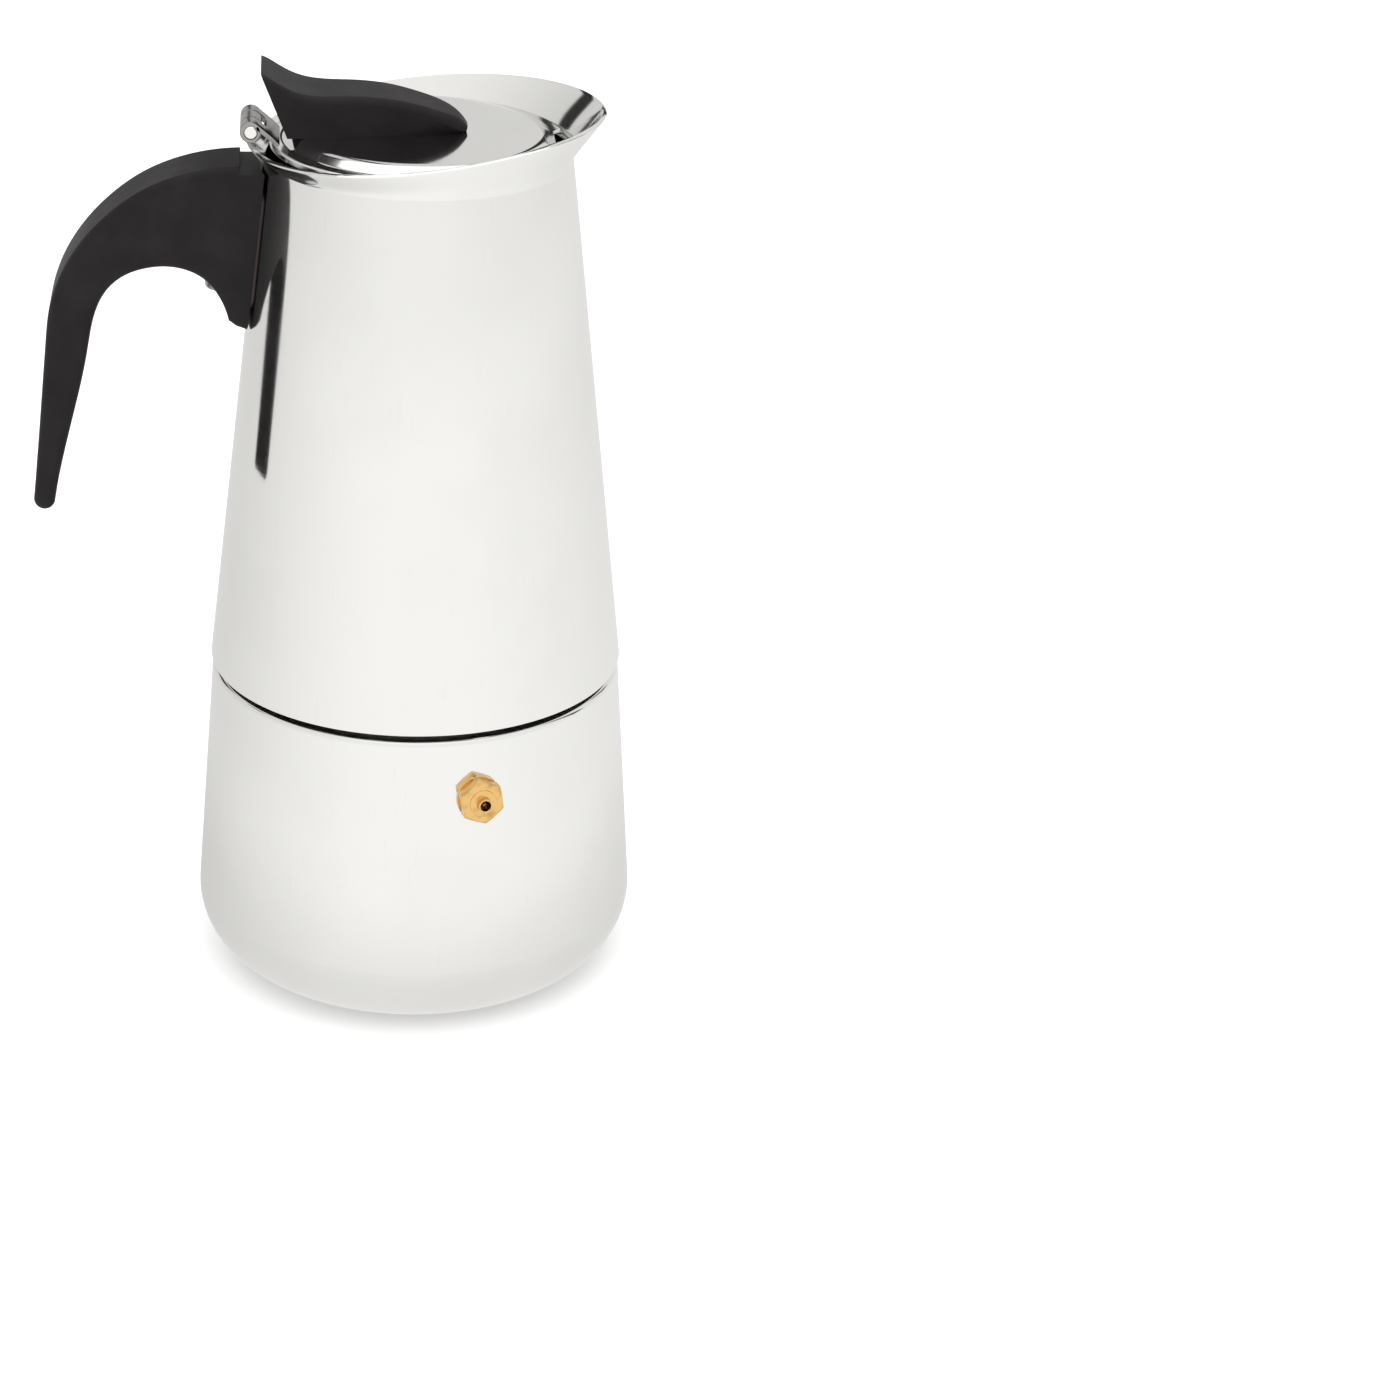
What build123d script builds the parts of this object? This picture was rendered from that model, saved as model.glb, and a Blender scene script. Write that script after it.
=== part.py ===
from build123d import *
import os
from math import atan2, cos, pi, radians, sin, sqrt

# Stovetop moka pot in stainless steel, with a hook handle and a hinged lid. Sizes are in millimetres.
# The origin is the centre of the base, on the surface the pot stands on. +Z is up, the pouring lip is
# towards +X, and the handle and the lid's hinge are towards -X.

os.makedirs("parts", exist_ok=True)

# ---------------------------------------------------------------- driving dimensions
# boiler, the lower vessel
boiler_r = 52.5             # side radius at the top of the bottom rounding
boiler_top_r = 48.2         # side radius at the shoulder
boiler_h = 76.2             # height of the shoulder
boiler_wall = 1.0
bottom_round = 16.4         # rounding between base and side
shoulder_round = 1.6        # rounding between side and shoulder
base_groove_r = 26.0        # middle of the ring pressed into the base
base_groove_w = 7.0
base_groove_d = 0.6
neck_bore_r = 34.0
neck_h = 12.0               # the boiler's mouth above its shoulder
neck_wall = 1.0

# screw joint between the vessels
thread_pitch = 3.0
thread_rib_h = 0.6          # how far each rolled rib stands out of its wall
thread_rib_w = 1.3          # width of a rib at its root
thread_turns = 2.0
thread_crest_gap = 0.15     # between the crests of the inner and the outer rib

# running gaps
seat_gap = 0.05             # between pieces that rest on each other and come apart
basket_gap = 0.5            # between the funnel's basket and the neck's bore
pin_gap = 0.06              # between the hinge pin and the lid's knuckles
poppet_gap = 0.08           # between the poppet and the valve's bore

# safety valve, in its own frame: 0 is the boiler's outer wall, + is outwards
valve_drop = 14.4           # its axis below the shoulder
valve_azimuth = -75.0       # degrees from +X
valve_hex_af = 9.5
valve_hex_h = 3.1
valve_hex_turn = 8.0        # degrees that the hexagon is turned
valve_boss_r = 3.15
valve_boss_h = 0.35
valve_nozzle_r = 1.7
valve_nozzle_h = 1.7
valve_nozzle_bore_r = 1.25
valve_shank_r = 3.5
valve_shank_l = 7.0         # from the outer wall inwards
valve_bore_r = 2.3
valve_bore_end = 1.6        # outer end of the spring's bore
valve_washer_r = 5.2
valve_washer_t = 0.5
valve_nut_af = 10.0
valve_nut_h = 2.4
retainer_t = 1.2
retainer_hole_r = 1.2
poppet_head_h = 1.4
poppet_stem_r = 0.8
poppet_travel = 0.8
spring_wire_r = 0.28
spring_coil_r = 1.5
spring_turns = 3.5

# funnel for the ground coffee
funnel_wall = 0.8
funnel_rim_r = 35.5
basket_depth = 30.0
basket_cone_h = 9.0
stem_r = 4.6
stem_wall = 0.7
stem_socket_l = 5.0
stem_foot_z = 8.0           # height of the stem's open end above the table
screen_t = 0.6
screen_rise = 2.8           # the screen sits just above the basket's rounded corner
screen_hole_r = 0.8
screen_hole_pitch = 4.6

# gasket and filter plate under the upper vessel's floor
gasket_t = 2.4
gasket_bore_r = 30.2
filter_plate_t = 0.6
filter_lip_h = 1.2
filter_hole_r = 0.65
filter_hole_pitch = 4.0

# upper vessel, the jug
seam_gap = 1.7              # shadow gap between the shoulder and the jug
jug_foot_r = 47.63          # outer radius of its bottom edge
jug_neck_r = 33.8           # outer radius where the rim starts to flare
jug_h = 121.7               # from the bottom edge to the neck
jug_wall = 0.9
jug_floor_t = 1.0
jug_floor_hole_r = 12.0
flange_rise = 0.8           # the flange's underside above the wall's bottom edge
# flared rim: how far its edge stands out and up from the neck at the sides, and how that changes round it
rim_flare = 2.8
rim_rise = 7.4
flare_lead = 0.2            # share of the rise before the flare starts to bend
flare_pull_out = 0.5        # how far the flare's last control point is drawn in, as a share of its reach
flare_pull_down = 0.45      # and down, as a share of its rise
edge_lift = 0.25            # the edge's inner line above its outer line, as a share of the wall
rim_tilt = 4.5              # rise to the lip and fall to the hinge
lip_reach = 4.5             # the lip's extra radius
lip_drop = 0.7              # how far the lip bends below the tilted line
lip_power = 8               # a higher power makes a narrower lip

# riser column in the jug
riser_r = 6.4
riser_wall = 0.8
riser_foot_r = 15.5
riser_cone_r = 13.0
riser_cone_h = 15.0
riser_drop = 39.6           # its open end below the jug's neck
riser_cap_r = 7.2
riser_cap_h = 13.0
riser_cap_overlap = 5.0
riser_slot_w = 6.0
riser_slot_h = 3.2
riser_slot_rise = 0.6       # above the tube's end

# hinge
hinge_out = 0.7             # the pin's centre outside the rim's edge
hinge_drop = 0.7            # and below the rim's edge at the pot's sides
hinge_pin_r = 1.5
hinge_barrel_r = 2.4
hinge_length = 14.3
hinge_middle_l = 4.6        # length of the jug's middle knuckle
hinge_side_gap = 0.15       # between neighbouring knuckles
hinge_leaf_t = 0.9
hinge_tab_gap = 0.35        # between the tab and the rim's edge

# lid
lid_gap = 0.5               # between the lid's edge and the neck's outer radius
lid_rise = 4.0              # top of the lid's edge above the neck
lid_crown_h = 1.9           # the flat middle above the edge
lid_edge_w = 2.8            # width of the flat edge
lid_slope_w = 2.9           # width of the slope between the middle and the edge
lid_t = 0.8
lid_hem_h = 1.4
lid_hem_w = 1.3
notch_w = 15.5
notch_depth = 3.0
notch_round = 3.5

# lid knob, a thumb lever
knob_half_w = 9.0
knob_round = 1.5
knob_screw_x = (-20.0, -3.0)
knob_screw_r = 1.5
knob_screw_l = 6.0
knob_screw_head_r = 2.9
knob_screw_head_h = 1.3
knob_slot_w = 0.7
knob_slot_l = 3.0
knob_slot_d = 0.6

# handle and its bracket
handle_w = 18.0
handle_drop = 0.9           # the handle's top below the jug's neck
handle_round = 2.0          # rounding along its edges
tail_round = 2.5            # how far the tail's round end stands out
handle_gap = 1.45           # between the jug's wall and the handle's curved face
step_out = 6.1              # end of the step that clears the hinge, from the neck's radius
step_depth = 1.5            # below the handle's top
strap_w = 17.0
strap_t = 1.4
strap_l = 27.5
strap_drop = 6.6            # top of the strap below the neck
strap_round = 2.5
tongue_drop = 19.2          # middle of the tongue below the neck
tongue_t = 3.0
tongue_w = 10.0
tongue_out = 20.2           # end of the tongue, from the neck's radius
tongue_end_gap = 0.5        # between the tongue's end and its slot
handle_screw_out = 10.8     # the screw's axis, from the neck's radius
handle_screw_r = 2.0
handle_screw_head_r = 3.6
handle_screw_head_h = 2.2
handle_screw_bite = 8.6     # length of shank below the tongue
head_gap = 0.3              # between the screw's head and its counterbore
cross_slot_w = 0.9
cross_slot_l = 3.8
cross_slot_d = 1.0

# ---------------------------------------------------------------- derived places
side_slope = (boiler_r - boiler_top_r) / (boiler_h - bottom_round)
boiler_foot_r = boiler_r + bottom_round * side_slope    # where the side's line meets the table
neck_r = neck_bore_r + neck_wall
mouth_z = boiler_h + neck_h
boiler_rib_r = neck_r + thread_rib_h
jug_rib_r = boiler_rib_r + thread_crest_gap
collar_r = jug_rib_r + thread_rib_h
valve_z = boiler_h - valve_drop
jug_foot_z = boiler_h + seam_gap
jug_neck_z = jug_foot_z + jug_h
jug_slope = (jug_foot_r - jug_neck_r) / jug_h
rim_r = jug_neck_r + rim_flare
rim_z = jug_neck_z + rim_rise
funnel_z = mouth_z + seat_gap
gasket_z = funnel_z + funnel_wall + seat_gap
floor_z = gasket_z + gasket_t + seat_gap                # underside of the jug's raised floor
floor_top_z = floor_z + jug_floor_t
flange_z = jug_foot_z + flange_rise
riser_top_z = jug_neck_z - riser_drop
hinge_x = -(rim_r + hinge_out)
hinge_z = rim_z - hinge_drop
knuckle_y = hinge_middle_l / 2 + hinge_side_gap         # half the gap between the lid's knuckles
lid_r = jug_neck_r - lid_gap
lid_edge_z = jug_neck_z + lid_rise                      # top of the edge
lid_crown_z = lid_edge_z + lid_crown_h                  # top of the flat middle
lid_crown_r = lid_r - lid_edge_w - lid_slope_w
handle_top_z = jug_neck_z - handle_drop
handle_step_x = -(jug_neck_r + step_out)
handle_step_z = handle_top_z - step_depth
strap_top_z = jug_neck_z - strap_drop
strap_bottom_z = strap_top_z - strap_l
tongue_z = jug_neck_z - tongue_drop
tongue_end_x = -(jug_neck_r + tongue_out)
handle_screw_x = -(jug_neck_r + handle_screw_out)


def jug_r(z):
    """Outer radius of the jug's straight side at height z."""
    return jug_foot_r - (z - jug_foot_z) * jug_slope


def boiler_side_r(z):
    """Outer radius of the boiler's straight side at height z."""
    return boiler_r - (z - bottom_round) * side_slope


def pressed_section(points, radii, wall, side=Side.LEFT):
    """Half section of a pressed sheet: the path is one face of it, and the wall lies beside it."""
    with BuildSketch(Plane.XZ) as section:
        with BuildLine():
            FilletPolyline(*points, radius=radii)
            offset(amount=wall, side=side)
        make_face()
    return section.sketch


def ring_section(inner_r, outer_r, low_z, high_z):
    """Half section of a plain ring."""
    with BuildSketch(Plane.XZ) as section:
        with Locations((inner_r, low_z)):
            Rectangle(outer_r - inner_r, high_z - low_z, align=(Align.MIN, Align.MIN))
    return section.sketch


def thread_rib(root_r, crest_r, start_z):
    """One rolled screw rib that runs round a wall, with its root sunk a little into it."""
    sink = 0.25 if crest_r > root_r else -0.25
    with BuildPart() as rib:
        with BuildLine():
            helix = Helix(thread_pitch, thread_pitch * thread_turns, root_r - sink,
                          center=(0, 0, start_z))
        with BuildSketch(Plane(origin=helix @ 0, x_dir=(1, 0, 0), z_dir=(0, 1, 0))):
            # the sketch's x is radial, and its y is -Z
            with BuildLine():
                Polyline((0, -thread_rib_w / 2), (crest_r - root_r + sink, -thread_rib_w / 5),
                         (crest_r - root_r + sink, thread_rib_w / 5), (0, thread_rib_w / 2), close=True)
            make_face()
        sweep(path=helix, is_frenet=True)
    return rib.part


def hole_rings(pitch, limit_r):
    """Radius and number of holes of each ring in a perforated plate."""
    rings = int(limit_r / pitch)
    return [(pitch * k, round(2 * pi * k)) for k in range(1, rings + 1)]


# ---------------------------------------------------------------- boiler
valve_dir = (cos(radians(valve_azimuth)), sin(radians(valve_azimuth)))
valve_wall_r = boiler_side_r(valve_z)
valve_plane = Plane(
    origin=(valve_wall_r * valve_dir[0], valve_wall_r * valve_dir[1], valve_z),
    x_dir=(-valve_dir[1], valve_dir[0], 0),
    z_dir=(valve_dir[0], valve_dir[1], side_slope))

with BuildPart() as boiler_shell:
    revolve(pressed_section(
        [(0, 0), (base_groove_r - base_groove_w / 2, 0),
         (base_groove_r - base_groove_w / 2 + base_groove_d, base_groove_d),
         (base_groove_r + base_groove_w / 2 - base_groove_d, base_groove_d),
         (base_groove_r + base_groove_w / 2, 0), (boiler_foot_r, 0), (boiler_top_r, boiler_h),
         (neck_r, boiler_h), (neck_r, mouth_z)],
        [0.5, 0.5, 0.5, 0.5, bottom_round, shoulder_round, 1.2], boiler_wall), axis=Axis.Z)
    add(thread_rib(neck_r, boiler_rib_r, boiler_h + thread_pitch))
    with BuildSketch(valve_plane):
        Circle(valve_shank_r)
    extrude(amount=2 * boiler_wall, both=True, mode=Mode.SUBTRACT)
boiler_shell.part.label = "boiler_shell"
export_step(boiler_shell.part, "parts/boiler_shell.step")

# ---------------------------------------------------------------- safety valve
with BuildPart() as valve_body:
    with BuildSketch(valve_plane.offset(valve_washer_t)):
        RegularPolygon(valve_hex_af / 2, 6, major_radius=False, rotation=valve_hex_turn)
    extrude(amount=valve_hex_h)
    # the hexagon's outer corners are turned down by a cone
    with BuildSketch(valve_plane.offset(valve_washer_t + valve_hex_h)):
        Circle(valve_hex_af / 2 - 0.1)
    extrude(amount=-valve_hex_h, taper=-60, mode=Mode.INTERSECT)
    with BuildSketch(valve_plane.offset(valve_washer_t + valve_hex_h)):
        Circle(valve_boss_r)
    extrude(amount=valve_boss_h)
    with BuildSketch(valve_plane.offset(valve_washer_t + valve_hex_h + valve_boss_h)):
        Circle(valve_nozzle_r)
    extrude(amount=valve_nozzle_h)
    with BuildSketch(valve_plane.offset(-valve_shank_l)):
        Circle(valve_shank_r)
    extrude(amount=valve_shank_l + valve_washer_t)
    with BuildSketch(valve_plane.offset(-valve_shank_l)):
        Circle(valve_bore_r)
    extrude(amount=valve_shank_l + valve_bore_end, mode=Mode.SUBTRACT)
    with BuildSketch(valve_plane):
        Circle(valve_nozzle_bore_r)
    extrude(amount=valve_washer_t + valve_hex_h + valve_boss_h + valve_nozzle_h, mode=Mode.SUBTRACT)
valve_body.part.label = "valve_body"
export_step(valve_body.part, "parts/valve_body.step")

# the boiler's side wall alone, which shapes the faces of the pieces clamped to it
side_low_z = valve_z - 2 * valve_nut_af
side_wall_w = boiler_wall * sqrt(1 + side_slope**2)     # level width of the leaning wall
with BuildPart() as side_wall:
    with BuildSketch(Plane.XZ):
        with BuildLine():
            Polyline((boiler_side_r(side_low_z), side_low_z), (boiler_top_r, boiler_h),
                     (boiler_top_r - side_wall_w, boiler_h),
                     (boiler_side_r(side_low_z) - side_wall_w, side_low_z), close=True)
        make_face()
    revolve(axis=Axis.Z)

with BuildPart() as valve_washer:
    with BuildSketch(valve_plane.offset(-boiler_wall)):
        Circle(valve_washer_r)
        Circle(valve_shank_r, mode=Mode.SUBTRACT)
    extrude(amount=boiler_wall + valve_washer_t)
    add(side_wall.part, mode=Mode.SUBTRACT)
    keep_outer = valve_washer.solids().sort_by(Axis(valve_plane.origin, valve_plane.z_dir))[-1]
    add(keep_outer, mode=Mode.REPLACE)
valve_washer.part.label = "valve_washer"
export_step(valve_washer.part, "parts/valve_washer.step")

with BuildPart() as valve_nut:
    with BuildSketch(valve_plane.offset(-boiler_wall - valve_nut_h)):
        RegularPolygon(valve_nut_af / 2, 6, major_radius=False)
        Circle(valve_shank_r, mode=Mode.SUBTRACT)
    extrude(amount=valve_nut_h)
    add(side_wall.part, mode=Mode.SUBTRACT)
valve_nut.part.label = "valve_nut"
export_step(valve_nut.part, "parts/valve_nut.step")

with BuildPart() as valve_retainer:
    with BuildSketch(valve_plane.offset(-valve_shank_l)):
        Circle(valve_bore_r)
        Circle(retainer_hole_r, mode=Mode.SUBTRACT)
    extrude(amount=retainer_t)
valve_retainer.part.label = "valve_retainer"
export_step(valve_retainer.part, "parts/valve_retainer.step")

poppet_seat = retainer_t - valve_shank_l + seat_gap     # inner face of the poppet's head
poppet_back = poppet_seat + poppet_head_h
with BuildPart() as valve_poppet:
    with BuildSketch(valve_plane.offset(poppet_seat)):
        Circle(valve_bore_r - poppet_gap)
    extrude(amount=poppet_head_h)
    # the nose that closes the retainer's hole, and the stem inside the spring
    with BuildSketch(valve_plane.offset(poppet_seat)):
        Circle(retainer_hole_r - poppet_gap)
    extrude(amount=-retainer_t / 2)
    with BuildSketch(valve_plane.offset(poppet_back)):
        Circle(poppet_stem_r)
    extrude(amount=(valve_bore_end - poppet_back) / 2)
valve_poppet.part.label = "valve_poppet"
export_step(valve_poppet.part, "parts/valve_poppet.step")

spring_l = valve_bore_end - poppet_back - poppet_travel - 2 * seat_gap
with BuildPart() as valve_spring:
    spring_start = valve_plane.offset(poppet_back + spring_wire_r)
    with BuildLine():
        coil = Helix((spring_l - 2 * spring_wire_r) / spring_turns, spring_l - 2 * spring_wire_r,
                     spring_coil_r, center=spring_start.origin, direction=valve_plane.z_dir)
    with BuildSketch(Plane(origin=coil @ 0, z_dir=coil % 0)):
        Circle(spring_wire_r)
    sweep(path=coil, is_frenet=True)
valve_spring.part.label = "valve_spring"
export_step(valve_spring.part, "parts/valve_spring.step")

# ---------------------------------------------------------------- funnel
basket_r = neck_bore_r - basket_gap
basket_low_z = funnel_z - basket_depth
cone_low_z = basket_low_z - basket_cone_h
with BuildPart() as funnel_basket:
    revolve(pressed_section(
        [(stem_r, cone_low_z - stem_socket_l), (stem_r, cone_low_z), (basket_r - funnel_wall, basket_low_z),
         (basket_r - funnel_wall, funnel_z + funnel_wall), (funnel_rim_r, funnel_z + funnel_wall)],
        [2.0, 2.5, 0], funnel_wall, Side.RIGHT), axis=Axis.Z)
funnel_basket.part.label = "funnel_basket"
export_step(funnel_basket.part, "parts/funnel_basket.step")

with BuildPart() as funnel_stem:
    revolve(ring_section(stem_r - stem_wall, stem_r, stem_foot_z, cone_low_z), axis=Axis.Z)
    # the open end is cut at a slant, so that it can't seal against the boiler's floor
    with BuildSketch(Plane.XZ):
        with BuildLine():
            Polyline((-stem_r - 1, stem_foot_z - 1), (stem_r + 1, stem_foot_z - 1),
                     (stem_r + 1, stem_foot_z + stem_r), close=True)
        make_face()
    extrude(amount=2 * stem_r, both=True, mode=Mode.SUBTRACT)
funnel_stem.part.label = "funnel_stem"
export_step(funnel_stem.part, "parts/funnel_stem.step")

screen_r = basket_r - funnel_wall - 0.05
with BuildPart() as funnel_screen:
    with BuildSketch(Plane.XY.offset(basket_low_z + screen_rise)):
        Circle(screen_r)
        Circle(screen_hole_r, mode=Mode.SUBTRACT)
        for ring_r, count in hole_rings(screen_hole_pitch, screen_r - 3):
            with PolarLocations(ring_r, count):
                Circle(screen_hole_r, mode=Mode.SUBTRACT)
    extrude(amount=screen_t)
funnel_screen.part.label = "funnel_screen"
export_step(funnel_screen.part, "parts/funnel_screen.step")

# ---------------------------------------------------------------- gasket and filter plate
with BuildPart() as gasket:
    revolve(ring_section(gasket_bore_r, funnel_rim_r, gasket_z, gasket_z + gasket_t), axis=Axis.Z)
    fillet(gasket.edges(), 0.4)
gasket.part.label = "gasket"
export_step(gasket.part, "parts/gasket.step")

filter_r = gasket_bore_r - 4 * seat_gap
filter_z = gasket_z + gasket_t - filter_plate_t
with BuildPart() as filter_plate:
    with BuildSketch(Plane.XY.offset(filter_z)):
        Circle(filter_r)
        Circle(filter_hole_r, mode=Mode.SUBTRACT)
        for ring_r, count in hole_rings(filter_hole_pitch, filter_r - 4):
            with PolarLocations(ring_r, count):
                Circle(filter_hole_r, mode=Mode.SUBTRACT)
    extrude(amount=filter_plate_t)
    # a short lip turned down round the edge stiffens the plate
    revolve(ring_section(filter_r - filter_plate_t, filter_r, filter_z - filter_lip_h, filter_z),
            axis=Axis.Z)
filter_plate.part.label = "filter_plate"
export_step(filter_plate.part, "parts/filter_plate.step")

# ---------------------------------------------------------------- jug
def rim_point(angle):
    """Radius and height of the rim's edge at an angle in degrees from the pouring lip."""
    tilt = cos(radians(angle))
    lip = ((1 + tilt) / 2) ** lip_power
    return rim_r + lip_reach * lip, rim_z + rim_tilt * tilt - lip_drop * lip


def jug_section(angle):
    """Section of the jug's wall in the half plane at an angle: a straight side and a flared rim."""
    edge_r, edge_z = rim_point(angle)
    flare = Plane(origin=(0, 0, 0), x_dir=(cos(radians(angle)), sin(radians(angle)), 0),
                  z_dir=(sin(radians(angle)), -cos(radians(angle)), 0))
    rise = edge_z - jug_neck_z
    reach = edge_r - jug_neck_r
    lead_r = jug_neck_r - flare_lead * rise * jug_slope
    lead_z = jug_neck_z + flare_lead * rise
    bend_r = edge_r - flare_pull_out * reach
    bend_z = edge_z - flare_pull_down * rise
    lift = edge_lift * jug_wall
    # the flare leaves the side tangentially and bends out towards its edge
    with BuildSketch(flare) as section:
        with BuildLine():
            outer = Bezier((jug_neck_r, jug_neck_z), (lead_r, lead_z), (bend_r, bend_z), (edge_r, edge_z))
            tip = Line(outer @ 1, (edge_r - jug_wall, edge_z + lift))
            inner = Bezier(tip @ 1, (bend_r - jug_wall, bend_z + lift), (lead_r - jug_wall, lead_z),
                           (jug_neck_r - jug_wall, jug_neck_z))
            Polyline(inner @ 1, (jug_foot_r - jug_wall, jug_foot_z), (jug_foot_r, jug_foot_z), outer @ 0)
        make_face()
    return section.sketch


section_step = 12
with BuildPart() as jug_shell:
    loft([jug_section(angle).face() for angle in range(0, 181, section_step)])
    mirror(about=Plane.XZ)
jug_shell.part.label = "jug_shell"
export_step(jug_shell.part, "parts/jug_shell.step")

# the hat-shaped floor: a flange welded in the side, a collar with the screw rib, and a raised floor
with BuildPart() as jug_floor:
    revolve(pressed_section(
        [(jug_r(flange_z + jug_floor_t) - jug_wall, flange_z + jug_floor_t),
         (collar_r + jug_floor_t, flange_z + jug_floor_t),
         (collar_r + jug_floor_t, floor_top_z), (jug_floor_hole_r, floor_top_z)],
        [0.8, 1.8], jug_floor_t), axis=Axis.Z)
    add(thread_rib(collar_r, jug_rib_r, flange_z + 1.0 + thread_rib_w / 2))
jug_floor.part.label = "jug_floor"
export_step(jug_floor.part, "parts/jug_floor.step")

# ---------------------------------------------------------------- riser column
with BuildPart() as riser_tube:
    revolve(pressed_section(
        [(riser_foot_r, floor_top_z + riser_wall), (riser_cone_r, floor_top_z + riser_wall),
         (riser_r, floor_top_z + riser_cone_h), (riser_r, riser_top_z)],
        [1.2, 6.0], riser_wall), axis=Axis.Z)
riser_tube.part.label = "riser_tube"
export_step(riser_tube.part, "parts/riser_tube.step")

with BuildPart() as riser_cap:
    cap_low_z = riser_top_z - riser_cap_overlap
    revolve(pressed_section(
        [(riser_cap_r, cap_low_z), (riser_cap_r, cap_low_z + riser_cap_h), (0, cap_low_z + riser_cap_h)],
        [3.5], riser_cap_r - riser_r), axis=Axis.Z)
    # coffee runs out of two slots just above the tube's end
    with Locations((0, 0, riser_top_z + riser_slot_h / 2 + riser_slot_rise)):
        Box(riser_slot_w, 3 * riser_cap_r, riser_slot_h, mode=Mode.SUBTRACT)
riser_cap.part.label = "riser_cap"
export_step(riser_cap.part, "parts/riser_cap.step")

# ---------------------------------------------------------------- handle bracket
def jug_cone(outside, low_z, high_z):
    """Solid cone that stands a given distance outside the jug's straight side."""
    return Solid.make_cone(jug_r(low_z) + outside, jug_r(high_z) + outside, high_z - low_z,
                           Plane.XY.offset(low_z))


side_bottom_z = strap_bottom_z - 20
side_top_z = jug_neck_z + 10
strap_mid_z = (strap_bottom_z + strap_top_z) / 2
bracket_reach = -tongue_end_x
with BuildPart() as handle_bracket:
    # a strap that hugs the wall, with a tongue that enters the handle
    with BuildSketch(Plane.YZ.offset(-bracket_reach)):
        with Locations((0, strap_mid_z)):
            RectangleRounded(strap_w, strap_l, strap_round)
    extrude(amount=bracket_reach)
    add(jug_cone(strap_t, side_bottom_z, side_top_z), mode=Mode.INTERSECT)
    with Locations((tongue_end_x, 0, tongue_z)):
        Box(bracket_reach - jug_r(tongue_z), tongue_w, tongue_t,
            align=(Align.MIN, Align.CENTER, Align.CENTER))
    add(jug_cone(0, side_bottom_z, side_top_z), mode=Mode.SUBTRACT)
    with BuildSketch(Plane.XY.offset(tongue_z - tongue_t)):
        with Locations((handle_screw_x, 0)):
            Circle(handle_screw_r)
    extrude(amount=2 * tongue_t, mode=Mode.SUBTRACT)
handle_bracket.part.label = "handle_bracket"
export_step(handle_bracket.part, "parts/handle_bracket.step")

# ---------------------------------------------------------------- handle
def handle_points(offsets):
    """Points of the handle's outline, from offsets out from the neck's radius and down from its top."""
    return [(-jug_neck_r - out, handle_top_z - down) for out, down in offsets]


# the outer line runs from the jug over the hook's back and down the tail, and the inner line comes back
# up the tail, round the arch over the fingers and down to the root's tip
handle_outer = handle_points([
    (5, 0), (13.8, 0.8), (21, 2.7), (28.2, 6), (35.4, 11.3), (41.5, 17.8), (46.3, 25.6), (48.9, 33.2),
    (50, 41), (51, 50.5), (52.2, 62), (53.3, 72), (54.1, 79)])
handle_inner = handle_points([
    (49.3, 79.4), (46.6, 67), (43.4, 54.8), (40.8, 43.5), (38.6, 33.8), (36, 28.9), (32.4, 25.7),
    (27.5, 23.8), (22.7, 23.3), (18, 24.2), (14.2, 26.4), (11.7, 29.4), (10, 32.8), (9.1, 35.9)])
handle_toe = handle_points([(7.4, 37.2), (3.5, 38.6)])
handle_end_x = -jug_neck_r + 6.0        # inside the jug's wall, where the curved face is cut
screw_low_z = tongue_z - tongue_t / 2 - handle_screw_bite
with BuildPart() as handle:
    with BuildSketch(Plane.XZ):
        with BuildLine():
            back = Spline(*handle_outer, tangents=[(-1, 0), (-0.12, -1)])
            front = Spline(*handle_inner)
            tail_dir = (back % 1) + (front % 0) * -1
            ThreePointArc(back @ 1, ((back @ 1) + (front @ 0)) / 2 + tail_dir.normalized() * tail_round,
                          front @ 0)
            Polyline(front @ 1, *handle_toe, (handle_end_x, handle_toe[-1][1]),
                     (handle_end_x, handle_top_z), back @ 0)
        make_face()
    extrude(amount=handle_w / 2, both=True)
    side_edges = handle.edges().group_by(Axis.Y)[0] + handle.edges().group_by(Axis.Y)[-1]
    fillet([edge for edge in side_edges if edge.center().X < -jug_neck_r], handle_round)
    add(jug_cone(handle_gap, side_bottom_z, side_top_z), mode=Mode.SUBTRACT)
    # the step under the hinge
    with Locations((handle_step_x, 0, handle_step_z)):
        Box(30, 2 * handle_w, 30, align=(Align.MIN, Align.CENTER, Align.MIN), mode=Mode.SUBTRACT)
    # the slot for the bracket's tongue, and the screw's hole with its counterbore
    with Locations((tongue_end_x - tongue_end_gap, 0, tongue_z)):
        Box(30, tongue_w, tongue_t, align=(Align.MIN, Align.CENTER, Align.CENTER), mode=Mode.SUBTRACT)
    with BuildSketch(Plane.XY.offset(tongue_z + tongue_t / 2 + 1)):
        with Locations((handle_screw_x, 0)):
            Circle(handle_screw_r)
    extrude(amount=-40, mode=Mode.SUBTRACT)
    with BuildSketch(Plane.XY.offset(screw_low_z)):
        with Locations((handle_screw_x, 0)):
            Circle(handle_screw_head_r + head_gap)
    extrude(amount=-30, mode=Mode.SUBTRACT)
handle.part.label = "handle"
export_step(handle.part, "parts/handle.step")

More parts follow.
